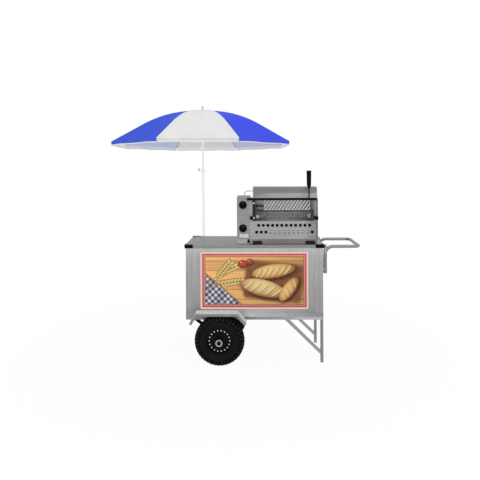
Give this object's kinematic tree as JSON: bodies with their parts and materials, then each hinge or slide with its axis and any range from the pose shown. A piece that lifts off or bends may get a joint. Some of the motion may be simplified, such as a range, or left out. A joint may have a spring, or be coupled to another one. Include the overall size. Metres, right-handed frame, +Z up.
{
  "type": "cheese bread cart",
  "caption": "Street food cart: sheet-steel cabinet on two wheels and two legs, with a gas oven on the counter, a push handle and a folding umbrella",
  "frame": {"origin": "on the floor, under the middle of the bounding box with the umbrella open", "axes": "+X along the cart towards the push handle, +Y from the front with the printed board to the rear with the doors, +Z up"},
  "size_m": [2.0191, 1.4924, 2.0474],
  "materials": {
    "stainless_sheet": "brushed stainless sheet",
    "galvanised_steel": "galvanised tube and sheet",
    "oven_steel": "brushed stainless sheet",
    "burner_steel": "bare steel",
    "black_steel": "satin black paint",
    "zinc_steel": "bright zinc",
    "tyre_rubber": "black rubber",
    "foot_rubber": "black rubber",
    "black_plastic": "black plastic",
    "grey_plastic": "grey plastic",
    "poster_print": "printed board",
    "pane_glass": "clear tempered glass",
    "pole_paint": "white paint",
    "rib_paint": "grey paint",
    "white_cloth": "white canopy cloth",
    "blue_cloth": "royal blue canopy cloth",
    "cylinder_paint": "gloss paint"
  },
  "bodies": {
    "cart": {"front_panel": "stainless_sheet", "side_panels": "stainless_sheet", "rear_panel": "stainless_sheet", "floor_panel": "stainless_sheet", "counter_top": "stainless_sheet", "cabinet_frame": "galvanised_steel", "legs": "galvanised_steel", "fenders": "galvanised_steel", "push_handle": "galvanised_steel", "umbrella_socket": "galvanised_steel", "oven_casing": "oven_steel", "vent_panel": "oven_steel", "hood": "oven_steel", "control_box": "oven_steel", "burners": "burner_steel", "gas_fittings": "burner_steel", "wire_tray": "burner_steel", "mesh_screen": "burner_steel", "axle_brackets": "black_steel", "door_pivots": "black_steel", "axle": "zinc_steel", "oven_feet": "foot_rubber", "corner_protectors": "black_plastic", "poster_panel": "poster_print", "lower_pole": "pole_paint", "gas_cylinder": "cylinder_paint"},
    "front_wheel": {"front_tyre": "tyre_rubber", "front_rim": "black_steel", "front_rim_bolts": "zinc_steel"},
    "rear_wheel": {"rear_tyre": "tyre_rubber", "rear_rim": "black_steel", "rear_rim_bolts": "zinc_steel"},
    "left_door": {"left_door": "stainless_sheet"},
    "right_door": {"right_door": "stainless_sheet"},
    "oven_door": {"oven_door": "black_steel", "door_pane": "pane_glass", "lever_grip": "black_plastic"},
    "upper_knob": {"upper_knob": "black_plastic"},
    "lower_knob": {"lower_knob": "black_plastic"},
    "clamp_knob": {"clamp_knob": "grey_plastic"},
    "mast": {"upper_pole": "pole_paint", "canopy_white": "white_cloth", "canopy_blue": "blue_cloth"},
    "runner": {"runner": "grey_plastic"},
    "rib_1": {"rib_1": "rib_paint"},
    "rib_2": {"rib_2": "rib_paint"},
    "rib_3": {"rib_3": "rib_paint"},
    "rib_4": {"rib_4": "rib_paint"},
    "rib_5": {"rib_5": "rib_paint"},
    "rib_6": {"rib_6": "rib_paint"},
    "rib_7": {"rib_7": "rib_paint"},
    "rib_8": {"rib_8": "rib_paint"},
    "stretcher_1": {"stretcher_1": "rib_paint"},
    "stretcher_2": {"stretcher_2": "rib_paint"},
    "stretcher_3": {"stretcher_3": "rib_paint"},
    "stretcher_4": {"stretcher_4": "rib_paint"},
    "stretcher_5": {"stretcher_5": "rib_paint"},
    "stretcher_6": {"stretcher_6": "rib_paint"},
    "stretcher_7": {"stretcher_7": "rib_paint"},
    "stretcher_8": {"stretcher_8": "rib_paint"}
  },
  "joints": [
    {"name": "front_wheel_spin", "type": "hinge", "parent": "cart", "child": "front_wheel", "pos_m": [-0.07741, -0.597, 0.19], "axis": [0, 1, 0], "continuous": true},
    {"name": "rear_wheel_spin", "type": "hinge", "parent": "cart", "child": "rear_wheel", "pos_m": [-0.07741, -0.017, 0.19], "axis": [0, 1, 0], "continuous": true},
    {"name": "left_door_swing", "type": "hinge", "parent": "cart", "child": "left_door", "pos_m": [-0.20442, -0.068, 0.655], "axis": [0, 0, 1], "range_deg": [0, 100]},
    {"name": "right_door_swing", "type": "hinge", "parent": "cart", "child": "right_door", "pos_m": [0.67458, -0.068, 0.655], "axis": [0, 0, -1], "range_deg": [0, 105]},
    {"name": "oven_door_drop", "type": "hinge", "parent": "cart", "child": "oven_door", "pos_m": [0.41258, -0.536, 1.11], "axis": [1, 0, 0], "range_deg": [0, 90]},
    {"name": "upper_knob_turn", "type": "hinge", "parent": "cart", "child": "upper_knob", "pos_m": [0.10158, -0.52, 1.21], "axis": [0, 1, 0], "range_deg": [-210, 0]},
    {"name": "lower_knob_turn", "type": "hinge", "parent": "cart", "child": "lower_knob", "pos_m": [0.10158, -0.52, 1.03], "axis": [0, 1, 0], "range_deg": [-210, 0]},
    {"name": "clamp_knob_turn", "type": "hinge", "parent": "cart", "child": "clamp_knob", "pos_m": [-0.28042, 0, 1.488], "axis": [1, 0, 0], "range_deg": [0, 180]},
    {"name": "mast_slide", "type": "slide", "parent": "cart", "child": "mast", "axis": [0, 0, 1], "range_m": [0, 0.2]},
    {"name": "runner_slide", "type": "slide", "parent": "mast", "child": "runner", "axis": [0, 0, -1], "range_m": [0, 0.28604], "deforming": ["canopy_white", "canopy_blue"]},
    {"name": "rib_1_fold", "type": "hinge", "parent": "mast", "child": "rib_1", "pos_m": [-0.25246, -0.02247, 1.995], "axis": [0.8988, 0.4384, 0], "range_deg": [0, 68.25]},
    {"name": "stretcher_1_fold", "type": "hinge", "parent": "runner", "child": "stretcher_1", "pos_m": [-0.24661, -0.01962, 1.835], "axis": [-0.8988, -0.4384, 0], "range_deg": [0, 43.47]},
    {"name": "rib_2_fold", "type": "hinge", "parent": "mast", "child": "rib_2", "pos_m": [-0.23978, -0.00814, 1.995], "axis": [0.3256, 0.9455, 0], "range_deg": [0, 68.25]},
    {"name": "stretcher_2_fold", "type": "hinge", "parent": "runner", "child": "stretcher_2", "pos_m": [-0.23766, -0.00199, 1.835], "axis": [-0.3256, -0.9455, 0], "range_deg": [0, 43.47]},
    {"name": "rib_3_fold", "type": "hinge", "parent": "mast", "child": "rib_3", "pos_m": [-0.24094, 0.01096, 1.995], "axis": [-0.4384, 0.8988, 0], "range_deg": [0, 68.25]},
    {"name": "stretcher_3_fold", "type": "hinge", "parent": "runner", "child": "stretcher_3", "pos_m": [-0.2438, 0.0168, 1.835], "axis": [0.4384, -0.8988, 0], "range_deg": [0, 43.47]},
    {"name": "rib_4_fold", "type": "hinge", "parent": "mast", "child": "rib_4", "pos_m": [-0.25528, 0.02364, 1.995], "axis": [-0.9455, 0.3256, 0], "range_deg": [0, 68.25]},
    {"name": "stretcher_4_fold", "type": "hinge", "parent": "runner", "child": "stretcher_4", "pos_m": [-0.26142, 0.02575, 1.835], "axis": [0.9455, -0.3256, 0], "range_deg": [0, 43.47]},
    {"name": "rib_5_fold", "type": "hinge", "parent": "mast", "child": "rib_5", "pos_m": [-0.27437, 0.02247, 1.995], "axis": [-0.8988, -0.4384, 0], "range_deg": [0, 68.25]},
    {"name": "stretcher_5_fold", "type": "hinge", "parent": "runner", "child": "stretcher_5", "pos_m": [-0.28022, 0.01962, 1.835], "axis": [0.8988, 0.4384, 0], "range_deg": [0, 43.47]},
    {"name": "rib_6_fold", "type": "hinge", "parent": "mast", "child": "rib_6", "pos_m": [-0.28705, 0.00814, 1.995], "axis": [-0.3256, -0.9455, 0], "range_deg": [0, 68.25]},
    {"name": "stretcher_6_fold", "type": "hinge", "parent": "runner", "child": "stretcher_6", "pos_m": [-0.28917, 0.00199, 1.835], "axis": [0.3256, 0.9455, 0], "range_deg": [0, 43.47]},
    {"name": "rib_7_fold", "type": "hinge", "parent": "mast", "child": "rib_7", "pos_m": [-0.28589, -0.01096, 1.995], "axis": [0.4384, -0.8988, 0], "range_deg": [0, 68.25]},
    {"name": "stretcher_7_fold", "type": "hinge", "parent": "runner", "child": "stretcher_7", "pos_m": [-0.28303, -0.0168, 1.835], "axis": [-0.4384, 0.8988, 0], "range_deg": [0, 43.47]},
    {"name": "rib_8_fold", "type": "hinge", "parent": "mast", "child": "rib_8", "pos_m": [-0.27155, -0.02364, 1.995], "axis": [0.9455, -0.3256, 0], "range_deg": [0, 68.25]},
    {"name": "stretcher_8_fold", "type": "hinge", "parent": "runner", "child": "stretcher_8", "pos_m": [-0.26541, -0.02575, 1.835], "axis": [-0.9455, 0.3256, 0], "range_deg": [0, 43.47]}
  ],
  "couplings": [
    {"joint": "rib_1_fold", "follows": "runner_slide", "rad_per_m": 4.1613},
    {"joint": "stretcher_1_fold", "follows": "runner_slide", "rad_per_m": 2.6493},
    {"joint": "rib_2_fold", "follows": "runner_slide", "rad_per_m": 4.1613},
    {"joint": "stretcher_2_fold", "follows": "runner_slide", "rad_per_m": 2.6493},
    {"joint": "rib_3_fold", "follows": "runner_slide", "rad_per_m": 4.1613},
    {"joint": "stretcher_3_fold", "follows": "runner_slide", "rad_per_m": 2.6493},
    {"joint": "rib_4_fold", "follows": "runner_slide", "rad_per_m": 4.1613},
    {"joint": "stretcher_4_fold", "follows": "runner_slide", "rad_per_m": 2.6493},
    {"joint": "rib_5_fold", "follows": "runner_slide", "rad_per_m": 4.1613},
    {"joint": "stretcher_5_fold", "follows": "runner_slide", "rad_per_m": 2.6493},
    {"joint": "rib_6_fold", "follows": "runner_slide", "rad_per_m": 4.1613},
    {"joint": "stretcher_6_fold", "follows": "runner_slide", "rad_per_m": 2.6493},
    {"joint": "rib_7_fold", "follows": "runner_slide", "rad_per_m": 4.1613},
    {"joint": "stretcher_7_fold", "follows": "runner_slide", "rad_per_m": 2.6493},
    {"joint": "rib_8_fold", "follows": "runner_slide", "rad_per_m": 4.1613},
    {"joint": "stretcher_8_fold", "follows": "runner_slide", "rad_per_m": 2.6493}
  ]
}
